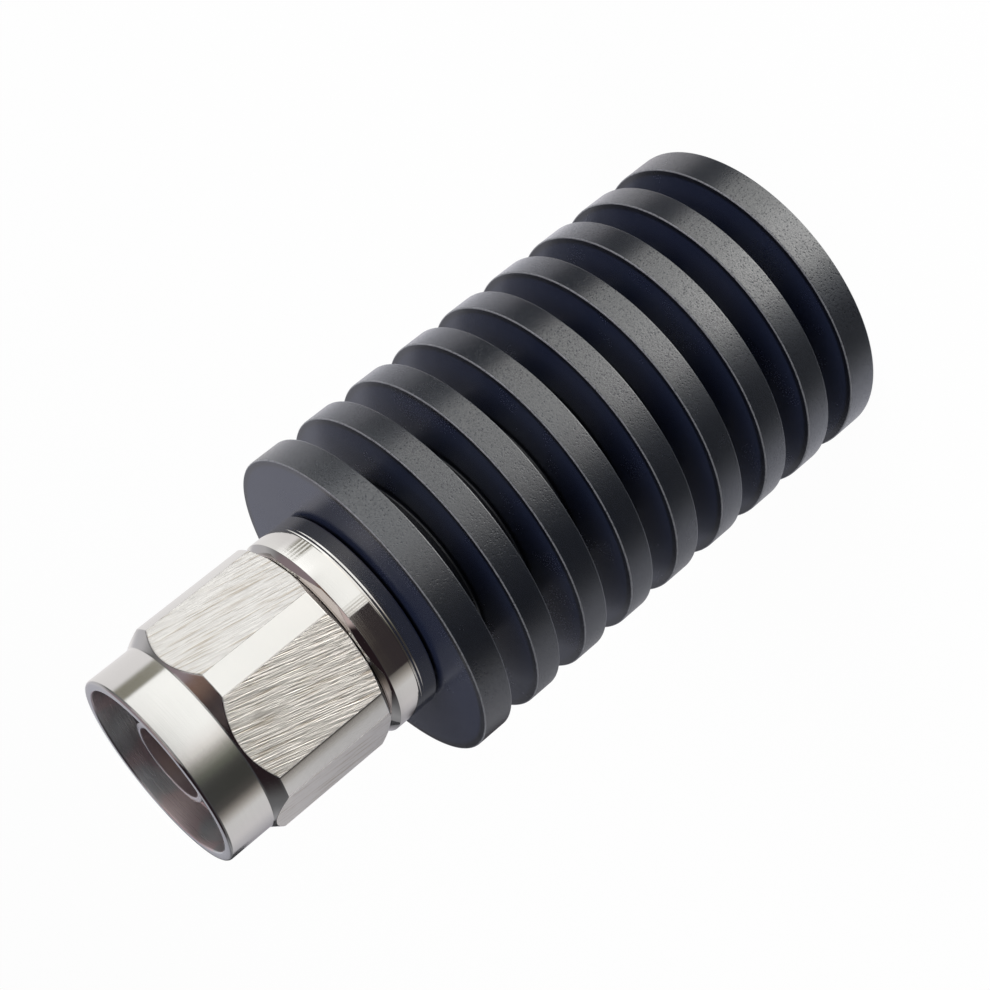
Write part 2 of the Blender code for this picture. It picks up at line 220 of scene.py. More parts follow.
def between(start, end, count):
    """Points evenly spaced on a straight stretch of an outline, without its ends."""
    return [
        (start[0] + (end[0] - start[0]) * step / count, start[1] + (end[1] - start[1]) * step / count, 0)
        for step in range(1, count)
    ]


def finish_mesh(part, faces_of_shape):
    """Write a bmesh to a part, facing outwards, smooth, with normals weighted by the faces' areas."""
    bmesh.ops.recalc_face_normals(faces_of_shape, faces=faces_of_shape.faces)
    faces_of_shape.to_mesh(part.data)
    faces_of_shape.free()
    part.data.shade_smooth()
    part.data.set_sharp_from_angle(angle=SHARP_ANGLE)
    weighted = part.modifiers.new("Even shading", "WEIGHTED_NORMAL")
    weighted.keep_sharp = True


def new_piece(name, material, body, node):
    """An empty mesh piece that rides on a body, replaces a CAD node and takes a slot's finish."""
    part = bpy.data.objects.new(name, bpy.data.meshes.new(name))
    bpy.context.scene.collection.objects.link(part)
    part.data.materials.append(material)
    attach(part, body)
    if node:
        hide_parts(node)
    return part


def turned(part, corners, closed=True, steps=TURN_STEPS, cut=None):
    """Turn an outline about Z into a part's mesh.

    cut(radius, height, angle) gives a point's radius and its share of flat, where flats cut the form.
    """
    shape = bmesh.new()
    edge_layer = shape.verts.layers.float.new("edge")
    flat_layer = shape.verts.layers.float.new("flat")
    rows = []
    for radius, height, edge in rounded(corners, closed):
        row = []
        for step in range(1 if radius == 0 else steps):
            angle = math.tau * step / steps
            reach, flat = cut(radius, height, angle) if cut else (radius, 0.0)
            vert = shape.verts.new((reach * math.cos(angle), reach * math.sin(angle), height))
            vert[edge_layer] = edge
            vert[flat_layer] = flat
            row.append(vert)
        rows.append(row)
    pairs = list(zip(rows, rows[1:]))
    if closed:
        pairs.append((rows[-1], rows[0]))
    for upper, lower in pairs:
        for step in range(steps):
            ring = [
                upper[step % len(upper)], upper[(step + 1) % len(upper)],
                lower[(step + 1) % len(lower)], lower[step % len(lower)],
            ]
            shape.faces.new(list(dict.fromkeys(ring)))
    finish_mesh(part, shape)
    return part


def new_tree(material):
    """A material's node tree and its Principled shader."""
    material.use_nodes = True
    tree = material.node_tree
    return tree, tree.nodes["Principled BSDF"]


def is_socket(value):
    """Whether a value is another node's socket."""
    return isinstance(value, bpy.types.NodeSocket)


def feed(tree, node, inputs):
    """Link each input that is given a socket, and set the others."""
    for name, value in inputs.items():
        if is_socket(value):
            tree.links.new(value, node.inputs[name])
        else:
            node.inputs[name].default_value = value


def add(tree, kind, inputs=None, **settings):
    """A node with its settings and inputs."""
    node = tree.nodes.new(kind)
    for name, value in settings.items():
        setattr(node, name, value)
    feed(tree, node, inputs or {})
    return node


def math_node(tree, operation, first, second=0.0):
    """Result of a Math node."""
    return add(tree, "ShaderNodeMath", {0: first, 1: second}, operation=operation).outputs[0]


def map_range(tree, value, low, high, to_low=0.0, to_high=1.0, kind="SMOOTHSTEP"):
    """A value's share between low and high, smooth unless another kind is given, as to_low to to_high."""
    node = add(tree, "ShaderNodeMapRange",
               {"Value": value, "From Min": low, "From Max": high, "To Min": to_low, "To Max": to_high},
               interpolation_type=kind)
    return node.outputs["Result"]


def mix_color(tree, share, first, second):
    """A colour between two, each a socket or a red, green and blue."""
    first, second = (value if is_socket(value) else (*value, 1.0) for value in (first, second))
    return add(tree, "ShaderNodeMix", {0: share, 6: first, 7: second}, data_type="RGBA").outputs[2]


def combine(tree, x, y, z):
    """A vector from its parts."""
    return add(tree, "ShaderNodeCombineXYZ", {"X": x, "Y": y, "Z": z}).outputs[0]


def noise(tree, vector, scale, detail=2.0, roughness=0.5):
    """Value of a Noise texture."""
    node = add(tree, "ShaderNodeTexNoise",
               {"Vector": vector, "Scale": scale, "Detail": detail, "Roughness": roughness})
    return node.outputs["Fac"]


def place(tree):
    """Object coordinates, with the parts x, y and z and the distance from the axis."""
    position = add(tree, "ShaderNodeTexCoord").outputs["Object"]
    parts = add(tree, "ShaderNodeSeparateXYZ", {"Vector": position}).outputs
    across = math_node(tree, "SQRT", math_node(
        tree, "ADD", math_node(tree, "MULTIPLY", parts["X"], parts["X"]),
        math_node(tree, "MULTIPLY", parts["Y"], parts["Y"])))
    return position, parts["X"], parts["Y"], parts["Z"], across


def lathe_lines(tree, x, y, z, across, width):
    """Value of fine lines round the axis, which change slowly along their length."""
    azimuth = math_node(tree, "ARCTAN2", y, x)
    vector = combine(tree, math_node(tree, "DIVIDE", across, width), math_node(tree, "DIVIDE", z, width),
                     math_node(tree, "MULTIPLY", azimuth, LINE_CHANGES))
    return noise(tree, vector, scale=1.0, detail=3.0, roughness=0.6)


def attribute(tree, name):
    """A number kept at the points of the mesh."""
    return add(tree, "ShaderNodeAttribute", attribute_name=name).outputs["Fac"]


def add_bump(tree, shader, height, depth, strength=1.0):
    """Bump on a shader, depth metres deep where the height changes by 1."""
    bump = add(tree, "ShaderNodeBump", {"Height": height, "Strength": strength, "Distance": depth})
    feed(tree, shader, {"Normal": bump.outputs["Normal"]})


# Black anodising. The scale of a noise is in cells to the metre, and a fade in metres from its start to
# where it is full.
BLAST_SCALE = 7500.0
BLAST_DEPTH = 0.0000085
PIT_SCALE = 4500.0
PIT_REACH = (0.45, 0.10)
PIT_CHANCE = 0.6
PIT_METAL = 0.48
GRAIN_METAL = 0.22
BLACK_CLOUD_SCALE = 180.0
RIM_FADE = (0.0003, 0.0001)         # finish of the fins' outside, measured in from it
LIP_FADE = (0.0008, 0.0004)         # shade close to the fins' outside, measured in from it
FLOOR_FADE = (0.0010, 0.0003)       # shade close to the grooves' floors, measured out from them
OUTSIDE_COLORS = ((0.0060, 0.0080, 0.0130), (0.0080, 0.0100, 0.0170))
DEEP_COLORS = ((0.0140, 0.0190, 0.0420), (0.0180, 0.0230, 0.0500))
SHADE_COLOR = (0.0040, 0.0045, 0.0080)
# lighter, bluish colour of the front edges: wear, and a painted highlight along them
WEAR_AND_HIGHLIGHT_COLOR = (0.62, 0.63, 0.68)
BLACK_IOR = 2.05
BLACK_TINT = (0.93, 0.965, 1.0, 1.0)


def anodised_black():
    """Black anodised aluminium over a fine bead blast. Its front edges are lighter and partly metallic, as
    wear and as a painted highlight, and it is painted darker as shade near the grooves' floors and just
    inside the fins' outside.
    """
    material = bpy.data.materials.new("black_anodised")
    tree, shader = new_tree(material)
    position, _, _, _, across = place(tree)

    def inwards(fade):
        """A fade measured in from the fins' outside."""
        return map_range(tree, across, heatsink_radius - fade[0], heatsink_radius - fade[1])

    grain = noise(tree, position, BLAST_SCALE)
    cells = add(tree, "ShaderNodeTexVoronoi", {"Vector": position, "Scale": PIT_SCALE},
                feature="F1").outputs
    chance = add(tree, "ShaderNodeSeparateColor", {"Color": cells["Color"]}).outputs[0]
    rim = inwards(RIM_FADE)
    pits = math_node(tree, "MULTIPLY", map_range(tree, cells["Distance"], *PIT_REACH),
                     math_node(tree, "MULTIPLY", map_range(tree, chance, 0.0, PIT_CHANCE), rim))
    cloud = noise(tree, position, BLACK_CLOUD_SCALE, detail=3.0)
    outside = mix_color(tree, cloud, *OUTSIDE_COLORS)
    floor = map_range(tree, across, core_radius + FLOOR_FADE[0], core_radius + FLOOR_FADE[1])
    shade = math_node(tree, "MAXIMUM", floor, inwards(LIP_FADE))
    deep = mix_color(tree, shade, mix_color(tree, cloud, *DEEP_COLORS), SHADE_COLOR)
    base = mix_color(tree, rim, deep, outside)

    normal = add(tree, "ShaderNodeTexCoord").outputs["Normal"]
    front = map_range(tree, add(tree, "ShaderNodeSeparateXYZ", {"Vector": normal}).outputs["Z"], 0.2, 0.35)
    # front edges lighter and partly metallic: wear, and a painted highlight along them
    wear_and_highlight = math_node(tree, "MULTIPLY", math_node(tree, "MULTIPLY", attribute(tree, "edge"), front),
                     math_node(tree, "MULTIPLY", rim, map_range(tree, grain, 0.35, 0.6, 0.2, 0.6)))
    specks = math_node(tree, "MULTIPLY", rim, map_range(tree, grain, 0.62, 0.36, 0.0, GRAIN_METAL))
    dots = math_node(tree, "ADD", math_node(tree, "MULTIPLY", pits, PIT_METAL), specks)
    rough = math_node(tree, "ADD", map_range(tree, cloud, 0.3, 0.7, 0.20, 0.23),
                      map_range(tree, grain, 0.3, 0.7, 0.05, 0.0))
    feed(tree, shader, {
        "Base Color": mix_color(tree, wear_and_highlight, base, WEAR_AND_HIGHLIGHT_COLOR),
        "Metallic": math_node(tree, "MAXIMUM", wear_and_highlight, dots),
        "Roughness": rough,
        "IOR": BLACK_IOR,
        "Specular Tint": BLACK_TINT,
    })
    add_bump(tree, shader, math_node(tree, "SUBTRACT", grain, pits), BLAST_DEPTH)
    return material


# Nickel plate
TOOL_LINE = 0.00006                 # width of the tool lines
NUT_TOOL_LINE = 0.00005
LINE_CHANGES = 1.5                  # to the radian along a tool line
NICKEL_CLOUD_SCALE = 300.0
NICKEL_CLOUD = 0.93                 # its darkest colour
DULL_AND_SHADE_FADE = 0.00006
DULL_ROUGHNESS = 0.3


def bright_nickel(name, color, roughness, line_depth, dull_and_shade_radius=0.0, dull_and_shade_color=(0.1, 0.1, 0.1),
                  rings=0.0):
    """Nickel plate on a turned surface, with fine tool lines round the axis.

    Nearer the axis than the given radius the plating is rougher and takes the given colour: on the
    collar's front face, in the gap under the nut, that colour is a painted shade. The rings near the
    collar's foot are rings times as deep as the lines.
    """
    material = bpy.data.materials.new(name)
    tree, shader = new_tree(material)
    position, x, y, z, across = place(tree)
    lines = lathe_lines(tree, x, y, z, across, TOOL_LINE)
    cloud = noise(tree, position, NICKEL_CLOUD_SCALE, detail=3.0)
    darker = tuple(NICKEL_CLOUD * value for value in color)
    plated = mix_color(tree, cloud, darker, color)
    dull_and_shade = map_range(tree, across, dull_and_shade_radius + DULL_AND_SHADE_FADE, dull_and_shade_radius)
    polished = map_range(tree, lines, 0.3, 0.7, 0.8 * roughness, 1.25 * roughness)
    feed(tree, shader, {
        "Base Color": mix_color(tree, dull_and_shade, plated, dull_and_shade_color),
        "Metallic": 1.0,
        "Roughness": math_node(tree, "ADD", polished, math_node(tree, "MULTIPLY", dull_and_shade, DULL_ROUGHNESS)),
    })
    height = lines
    if rings:
        wave = math_node(tree, "SINE", math_node(tree, "MULTIPLY", z, math.tau / RING_PITCH))
        near_foot = math_node(tree, "MULTIPLY",
                              map_range(tree, z, RINGS_FRONT, RINGS_FRONT - RINGS_FADE, 0.0, rings),
                              map_range(tree, z, RINGS_REAR, RINGS_REAR + RINGS_FADE))
        height = math_node(tree, "ADD", lines, math_node(tree, "MULTIPLY", wave, near_foot))
    add_bump(tree, shader, height, line_depth)
    return material


# Coupling nut's plate. Streaks are a width and a length, and colours a darker and a lighter one.
NUT_LINE_DEPTH = 0.0000025
BRUSH_SLANT = math.radians(15.3)
BRUSH_DEPTH = 74.0                  # times the depth of the tool lines
COARSE_STREAKS = (0.00024, 0.0052)
FINE_STREAKS = (0.00009, 0.0032)
COARSE_SHARE = 0.6
FLAT_SHIFT = 7.3                    # moves the streaks on, from flat to flat
SCRATCHED = (0.38, 0.48)
BRUSHED_COLORS = ((0.69, 0.635, 0.565), (0.96, 0.945, 0.92))
TURNED_COLOR = (0.75, 0.745, 0.73)
CHAMFER_COLOR = (0.60, 0.54, 0.52)
# Painted reflection inside the nut: a random mottle of pink and grey in place of what its bore reflects,
# with its scale and its two colours
REFLECTION_MOTTLE_SCALE = 210.0
REFLECTION_MOTTLE_COLORS = ((0.95, 0.81, 0.82), (0.78, 0.81, 0.82))
INSIDE_FADE = 0.0001
TURNED_ROUGHNESS = (0.11, 0.17)
FLAT_ROUGHNESS = 0.20               # added on the flats
MOUTH_ROUGHNESS = 0.155             # added in the mouth
THREAD_ROUGHNESS = 0.35             # added deeper inside
NUT_ANISOTROPY = 0.8
TURNED_SPREAD = 6.0


def nut_nickel():
    """Nickel of the coupling nut: bright and turned, and brushed slantwise on the hex flats."""
    material = bpy.data.materials.new("nut_nickel")
    tree, shader = new_tree(material)
    position, x, y, z, across = place(tree)
    lines = lathe_lines(tree, x, y, z, across, NUT_TOOL_LINE)
    flat = map_range(tree, attribute(tree, "flat"), 0.35, 0.65)

    side = math.tau / HEX_SIDES
    azimuth = math_node(tree, "ARCTAN2", y, x)
    nearest = math_node(tree, "ROUND", math_node(
        tree, "DIVIDE", math_node(tree, "SUBTRACT", azimuth, NUT_TURN), side))
    facing = math_node(tree, "ADD", math_node(tree, "MULTIPLY", nearest, side), NUT_TURN)
    tangent = math_node(tree, "SUBTRACT",
                        math_node(tree, "MULTIPLY", y, math_node(tree, "COSINE", facing)),
                        math_node(tree, "MULTIPLY", x, math_node(tree, "SINE", facing)))
    slant_cosine = math.cos(BRUSH_SLANT)
    slant_sine = math.sin(BRUSH_SLANT)
    along = math_node(tree, "ADD", math_node(tree, "MULTIPLY", tangent, slant_sine),
                      math_node(tree, "MULTIPLY", z, slant_cosine))
    aside = math_node(tree, "SUBTRACT", math_node(tree, "MULTIPLY", tangent, slant_cosine),
                      math_node(tree, "MULTIPLY", z, slant_sine))

    def streaks(width, length):
        """Value of brushed streaks on the flats."""
        vector = combine(tree, math_node(tree, "DIVIDE", aside, width),
                         math_node(tree, "DIVIDE", along, length),
                         math_node(tree, "MULTIPLY", nearest, FLAT_SHIFT))
        return noise(tree, vector, scale=1.0, roughness=0.55)

    scratches = math_node(tree, "ADD",
                          math_node(tree, "MULTIPLY", streaks(*COARSE_STREAKS), COARSE_SHARE),
                          math_node(tree, "MULTIPLY", streaks(*FINE_STREAKS), 1.0 - COARSE_SHARE))
    brushed = mix_color(tree, map_range(tree, scratches, *SCRATCHED), *BRUSHED_COLORS)
    chamfer = map_range(tree, z, nut_back + REAR_CHAMFER_LENGTH, nut_back + 0.9 * REAR_CHAMFER_LENGTH)
    plated = mix_color(tree, chamfer, TURNED_COLOR, CHAMFER_COLOR)
    plated = mix_color(tree, flat, plated, brushed)
    inside = map_range(tree, across, NUT_INSIDE + INSIDE_FADE, NUT_INSIDE)
    # Inside the nut, a painted mottle of reflections
    reflection_mottle = map_range(tree, noise(tree, position, REFLECTION_MOTTLE_SCALE, detail=1.0), 0.44, 0.56)
    painted_reflections = mix_color(tree, reflection_mottle, *REFLECTION_MOTTLE_COLORS)

    polished = map_range(tree, lines, 0.3, 0.7, *TURNED_ROUGHNESS)
    rough = math_node(tree, "ADD", polished, math_node(tree, "MULTIPLY", flat, FLAT_ROUGHNESS))
    dullness = map_range(tree, across, MOUTH_RADIUS - INSIDE_FADE / 2, MOUTH_RADIUS - INSIDE_FADE,
                         MOUTH_ROUGHNESS, THREAD_ROUGHNESS)
    rough = math_node(tree, "ADD", rough, math_node(tree, "MULTIPLY", inside, dullness))

    turned_spread = combine(tree, math_node(tree, "MULTIPLY", x, TURNED_SPREAD),
                            math_node(tree, "MULTIPLY", y, TURNED_SPREAD), 1.0)
    brushed_spread = combine(
        tree,
        math_node(tree, "MULTIPLY", math_node(tree, "SINE", facing), -slant_cosine),
        math_node(tree, "MULTIPLY", math_node(tree, "COSINE", facing), slant_cosine),
        -slant_sine)
    spread = add(tree, "ShaderNodeMix", {0: flat, 4: turned_spread, 5: brushed_spread},
                 data_type="VECTOR").outputs[1]
    spread = add(tree, "ShaderNodeVectorTransform", {"Vector": spread}, vector_type="VECTOR",
                 convert_from="OBJECT", convert_to="WORLD").outputs[0]
    feed(tree, shader, {
        "Base Color": mix_color(tree, inside, plated, painted_reflections),
        "Metallic": 1.0,
        "Roughness": rough,
        "Anisotropic": NUT_ANISOTROPY,
        "Tangent": spread,
    })
    scratched = math_node(tree, "MULTIPLY", math_node(tree, "MULTIPLY", flat, scratches), BRUSH_DEPTH)
    lined = math_node(tree, "MULTIPLY", math_node(tree, "SUBTRACT", 1.0, flat), lines)
    add_bump(tree, shader, math_node(tree, "ADD", scratched, lined), NUT_LINE_DEPTH)
    return material


def plain(name, color, roughness, metallic, grain_size, depth):
    """A material with a fine grain and a slight cloud in its colour."""
    material = bpy.data.materials.new(name)
    tree, shader = new_tree(material)
    position = add(tree, "ShaderNodeTexCoord").outputs["Object"]
    grain = noise(tree, position, 1.0 / grain_size, detail=3.0, roughness=0.6)
    darker = tuple(0.85 * value for value in color)
    feed(tree, shader, {
        "Base Color": mix_color(tree, grain, darker, color),
        "Metallic": metallic,
        "Roughness": map_range(tree, grain, 0.3, 0.7, 0.85 * roughness, 1.15 * roughness),
    })
    add_bump(tree, shader, grain, depth, strength=0.5)
    return material


def make_heatsink(material):
    """Nine fins on a core, with rounded edges and filleted groove floors."""
    corners = [
        (0, BORE_FLOOR, 0),
        (BORE_RADIUS, BORE_FLOOR, BORE_ROUND),
        (BORE_RADIUS, heatsink_length, BORE_ROUND),
    ]
    front = heatsink_length
    for index in range(FIN_COUNT):
        thickness = END_FIN if index in (0, FIN_COUNT - 1) else FIN
        corners.append((heatsink_radius, front, FIN_ROUND))
        corners.append((heatsink_radius, front - thickness, FIN_ROUND))
        front -= thickness
        if index < FIN_COUNT - 1:
            corners.append((core_radius, front, GROOVE_ROUND))
            corners.append((core_radius, front - GROOVE, GROOVE_ROUND))
            front -= GROOVE
    corners.append((0, 0, 0))
    piece = new_piece("heatsink_finned", material, "load", "heatsink")
    return turned(piece, corners, closed=False)


def make_body(material):
    """Collar, neck and spigot in one piece."""
    corners = [
        (FLANGE_POCKET_RADIUS, shoulder, COLLAR_ROUND),
        (NECK_RADIUS, shoulder, COLLAR_ROUND),
        (NECK_RADIUS, RING_GROOVE_FRONT, 0),
        (RING_GROOVE_RADIUS, RING_GROOVE_FRONT, 0),
        (RING_GROOVE_RADIUS, RING_GROOVE_REAR, 0),
        (NECK_RADIUS, RING_GROOVE_REAR, 0),
        (NECK_RADIUS, COLLAR_FRONT, 0),
        (collar_radius - COLLAR_CHAMFER, COLLAR_FRONT, COLLAR_ROUND),
        (collar_radius, COLLAR_FRONT - COLLAR_CHAMFER, COLLAR_ROUND),
        (collar_radius, collar_foot, COLLAR_FOOT_ROUND),
        (SPIGOT_RADIUS, collar_foot, 0),
        (SPIGOT_RADIUS, spigot_rear + SPIGOT_CHAMFER, 0),
        (SPIGOT_RADIUS - SPIGOT_CHAMFER, spigot_rear, 0),
        (CONTACT_BORE, spigot_rear, 0),
        (CONTACT_BORE, BEAD_SEAT, 0),
        (BEAD_POCKET_RADIUS, BEAD_SEAT, 0),
        (BEAD_POCKET_RADIUS, FLANGE_SEAT, 0),
        (FLANGE_POCKET_RADIUS, FLANGE_SEAT, 0),
    ]
    piece = new_piece("connector_body_turned", material, "load", "connector_body")
    return turned(piece, corners)


def hex_cut(radius, height, angle):
    """A point's distance from the axis where the six flats cut a round form, and its share of flat.

    The flats' rear edges are rounded.
    """
    side = math.tau / HEX_SIDES
    off = (angle - NUT_TURN + side / 2) % side - side / 2
    sunk = min(max(NUT_REAR_EDGE - (height - nut_back), 0.0), NUT_REAR_EDGE)
    inset = NUT_REAR_EDGE - math.sqrt(NUT_REAR_EDGE * NUT_REAR_EDGE - sunk * sunk)
    flat = (FLAT_DISTANCE - inset) / math.cos(off)
    overlap = max(HEX_BLEND - abs(radius - flat), 0) / HEX_BLEND
    reach = min(radius, flat) - overlap * overlap * HEX_BLEND / 4
    return reach, min(max(0.5 + (radius - flat) / HEX_BLEND, 0.0), 1.0)


def make_nut(material):
    """Hex nut with its corners turned round, a cone and a round sleeve in front of the flats."""
    cone_front = Vector((SLEEVE_RADIUS, sleeve_rear))
    cone_rear = Vector((CORNER_RADIUS, hex_front))
    cone = cone_rear - cone_front
    margin = CONE_MARGIN * CONE_FILLET * math.tan(cone.angle(Vector((0, -1))) / 2)
    cone_start = cone_front + cone.normalized() * margin
    cone_end = cone_rear - cone.normalized() * margin
    cone_rows = math.ceil(FRONT_CONE_LENGTH / HEX_ROW)
    chamfer_rows = math.ceil(REAR_CHAMFER_LENGTH / HEX_FINE_ROW)
    chamfer_front = (CORNER_RADIUS, nut_back + REAR_CHAMFER_LENGTH)
    chamfer_rear = (FLAT_DISTANCE, nut_back)
    corners = [
        (SLEEVE_RADIUS, nut_front, NUT_FRONT_EDGE),
        (*cone_front, CONE_FILLET),
        *between(cone_start, cone_end, cone_rows),
        (*cone_rear, CONE_FILLET / 2),
        (*chamfer_front, NUT_REAR_EDGE),
        *between(chamfer_front, chamfer_rear, chamfer_rows),
        (*chamfer_rear, 0),
        (LIP_BORE, nut_back, NUT_FINE_EDGE),
        (LIP_BORE, LIP_FRONT, 0),
        (CAVITY_RADIUS, LIP_FRONT, 0),
        (CAVITY_RADIUS, thread_front, NUT_FINE_EDGE),
        (MOUTH_RADIUS, thread_front, NUT_FINE_EDGE),
        (MOUTH_RADIUS, nut_front, NUT_EDGE),
    ]
    piece = new_piece("coupling_nut_hex", material, "nut", "coupling_nut")
    return turned(piece, corners, steps=NUT_STEPS, cut=hex_cut)


def make_thread(material):
    """Ridge of the nut's internal thread, right-handed, which fades in at both its ends."""
    piece = new_piece("nut_thread", material, "nut", None)
    shape = bmesh.new()
    turns = (THREAD_LENGTH - THREAD_PITCH) / THREAD_PITCH
    count = round(turns * THREAD_STEPS)
    root = CAVITY_RADIUS + THREAD_SUNK
    rings = []
    for step in range(count + 1):
        share = step / count
        fade = min(1.0, share * turns * THREAD_FADES, (1 - share) * turns * THREAD_FADES)
        fade = max(fade, THREAD_LEAST)
        angle = math.tau * turns * share
        middle = thread_rear + THREAD_PITCH / 2 + THREAD_PITCH * turns * share
        crest = CAVITY_RADIUS - (CAVITY_RADIUS - THREAD_CREST_RADIUS) * fade
        section = [
            (root, -THREAD_ROOT_SHARE / 2), (crest, -THREAD_CREST_SHARE / 2),
            (crest, THREAD_CREST_SHARE / 2), (root, THREAD_ROOT_SHARE / 2),
        ]
        rings.append([
            shape.verts.new((radius * math.cos(angle), radius * math.sin(angle),
                             middle + rise * THREAD_PITCH))
            for radius, rise in section])
    for ring, following in zip(rings, rings[1:]):
        for index in range(len(ring)):
            after = (index + 1) % len(ring)
            shape.faces.new((ring[index], ring[after], following[after], following[index]))
    shape.faces.new(rings[0])
    shape.faces.new(rings[-1])
    finish_mesh(piece, shape)
    return piece


def make_contact(material):
    """Thin outer contact, with its flange in the body's pocket."""
    corners = [
        (CONTACT_RADIUS, contact_front, CONTACT_EDGE),
        (CONTACT_RADIUS, shoulder, 0),
        (flange_radius, shoulder, 0),
        (flange_radius, contact_rear, 0),
        (CONTACT_BORE, contact_rear, 0),
        (CONTACT_BORE, contact_front, CONTACT_EDGE),
    ]
    piece = new_piece("outer_contact_turned", material, "load", "outer_contact")
    return turned(piece, corners, steps=SMALL_STEPS)


def make_gasket(material):
    """Soft ring on the body's shoulder."""
    corners = [
        (gasket_radius, gasket_front, GASKET_ROUND),
        (gasket_radius, gasket_rear, 0),
        (gasket_bore, gasket_rear, 0),
        (gasket_bore, gasket_front, GASKET_ROUND),
    ]
    piece = new_piece("interface_gasket_round", material, "load", "interface_gasket")
    return turned(piece, corners, steps=SMALL_STEPS)


def make_pin(material):
    """Centre pin with a round nose and a shoulder."""
    nose = [
        (PIN_RADIUS * math.sin(angle), pin_tip - PIN_RADIUS + PIN_RADIUS * math.cos(angle), 0)
        for angle in (math.pi / 2 * step / NOSE_STEPS for step in range(1, NOSE_STEPS + 1))]
    corners = [
        (0, pin_tip, 0),
        *nose,
        (PIN_RADIUS, PIN_SHOULDER, 0),
        (CONDUCTOR_RADIUS, PIN_SHOULDER, PIN_FILLET),
        (CONDUCTOR_RADIUS, bead_face, 0),
        (PIN_NECK_RADIUS, bead_face, 0),
        (PIN_NECK_RADIUS, STUD_FRONT, 0),
        (STUD_RADIUS, STUD_FRONT, 0),
        (STUD_RADIUS, pin_rear, 0),
        (0, pin_rear, 0),
    ]
    piece = new_piece("center_pin_turned", material, "load", "center_pin")
    return turned(piece, corners, closed=False, steps=SMALL_STEPS)


def dress(node, material):
    """Give a carried-over node its material."""
    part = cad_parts[node]
    part.data.materials.clear()
    part.data.materials.append(material)


# Plain finishes by slot: colour, roughness, metallic, grain size and grain depth
PLAIN_FINISHES = {
    "red_silicone": ((0.36, 0.035, 0.022), 0.55, 0.0, 0.0003, 0.00001),
    "pin_gold": ((0.83, 0.60, 0.24), 0.18, 1.0, 0.0002, 0.000002),
    "white_insulator": ((0.86, 0.86, 0.84), 0.5, 0.0, 0.0004, 0.000005),
    "spring_bronze": ((0.55, 0.36, 0.20), 0.35, 1.0, 0.0003, 0.000004),
    "resistor_film": ((0.10, 0.08, 0.07), 0.55, 0.0, 0.0002, 0.000005),
    "cap_silver": ((0.75, 0.75, 0.73), 0.3, 1.0, 0.0003, 0.000004),
    "sleeve_brass": ((0.62, 0.47, 0.22), 0.3, 1.0, 0.0003, 0.000004),
}

# Nodes that keep their CAD form, and their slots
CARRIED_OVER = {
    "support_bead": "white_insulator",
    "retaining_ring": "spring_bronze",
    "inner_conductor": "pin_gold",
    "resistor_rod": "resistor_film",
    "resistor_front_cap": "cap_silver",
    "resistor_rear_cap": "cap_silver",
    "taper_sleeve": "sleeve_brass",
    "ground_contact": "sleeve_brass",
}

finishes = {slot: plain(slot, *finish) for slot, finish in PLAIN_FINISHES.items()}
make_heatsink(anodised_black())
# The collar's front face and what lies nearer the axis are rougher and painted dark, as the shade in the
# gap under the nut.
make_body(bright_nickel("body_nickel", color=(0.73, 0.72, 0.70), roughness=0.050, line_depth=0.0000005,
                        dull_and_shade_radius=collar_radius - COLLAR_CHAMFER - COLLAR_SHADE_INSET,
                        dull_and_shade_color=(0.15, 0.12, 0.12), rings=RINGS_DEPTH))
make_nut(nut_nickel())
make_thread(bright_nickel("thread_nickel", color=(0.60, 0.55, 0.56), roughness=0.35, line_depth=0.0000008))
make_contact(bright_nickel("contact_nickel", color=(0.80, 0.78, 0.78), roughness=0.16,
                           line_depth=0.0000005, dull_and_shade_radius=CONTACT_BORE + CONTACT_DULL,
                           dull_and_shade_color=(0.82, 0.74, 0.76)))
make_gasket(finishes["red_silicone"])
make_pin(finishes["pin_gold"])
for node, slot in CARRIED_OVER.items():
    dress(node, finishes[slot])

# Studio: what polished metal sees, by azimuth in degrees from +X towards +Y, at several heights
FAR_TABLE_BANDS = [
    (-180, (0.34, 0.33, 0.35)),
    (-150, (0.34, 0.34, 0.36)),
    (-110, (0.31, 0.31, 0.34)),
    (-100, (0.22, 0.22, 0.24)),
    (-92, (0.12, 0.12, 0.13)),
    (-84, (0.04, 0.04, 0.045)),
    (-76, (0.010, 0.010, 0.012)),
    (-34, (0.012, 0.012, 0.014)),
    (-20, (0.10, 0.10, 0.09)),
    (-10, (0.46, 0.43, 0.40)),
    (0, (0.66, 0.62, 0.57)),
    (20, (0.92, 0.88, 0.81)),
    (40, (1.15, 1.10, 1.02)),
    (66, (1.10, 1.05, 0.97)),
    (72, (0.02, 0.02, 0.02)),
    (98, (0.02, 0.02, 0.02)),
    (106, (0.34, 0.33, 0.35)),
    (120, (0.54, 0.53, 0.56)),
    (140, (0.70, 0.69, 0.74)),
    (160, (0.85, 0.84, 0.90)),
    (180, (0.34, 0.33, 0.35)),
]
NEAR_TABLE_BANDS = [
    (-180, (0.13, 0.13, 0.13)),
    (-150, (0.21, 0.21, 0.23)),
    (-110, (0.22, 0.22, 0.24)),
    (-90, (0.10, 0.10, 0.10)),
    (-78, (0.045, 0.045, 0.045)),
    (-48, (0.055, 0.055, 0.055)),
    (-30, (0.21, 0.21, 0.21)),
    (-20, (0.43, 0.42, 0.40)),
    (-10, (0.86, 0.83, 0.78)),
    (0, (1.05, 1.01, 0.95)),
    (20, (1.05, 1.01, 0.95)),
    (40, (0.65, 0.63, 0.59)),
    (68, (0.38, 0.37, 0.35)),
    (76, (0.06, 0.06, 0.06)),
    (98, (0.06, 0.06, 0.06)),
    (110, (0.21, 0.20, 0.20)),
    (125, (0.26, 0.25, 0.25)),
    (160, (0.22, 0.21, 0.22)),
    (180, (0.13, 0.13, 0.13)),
]
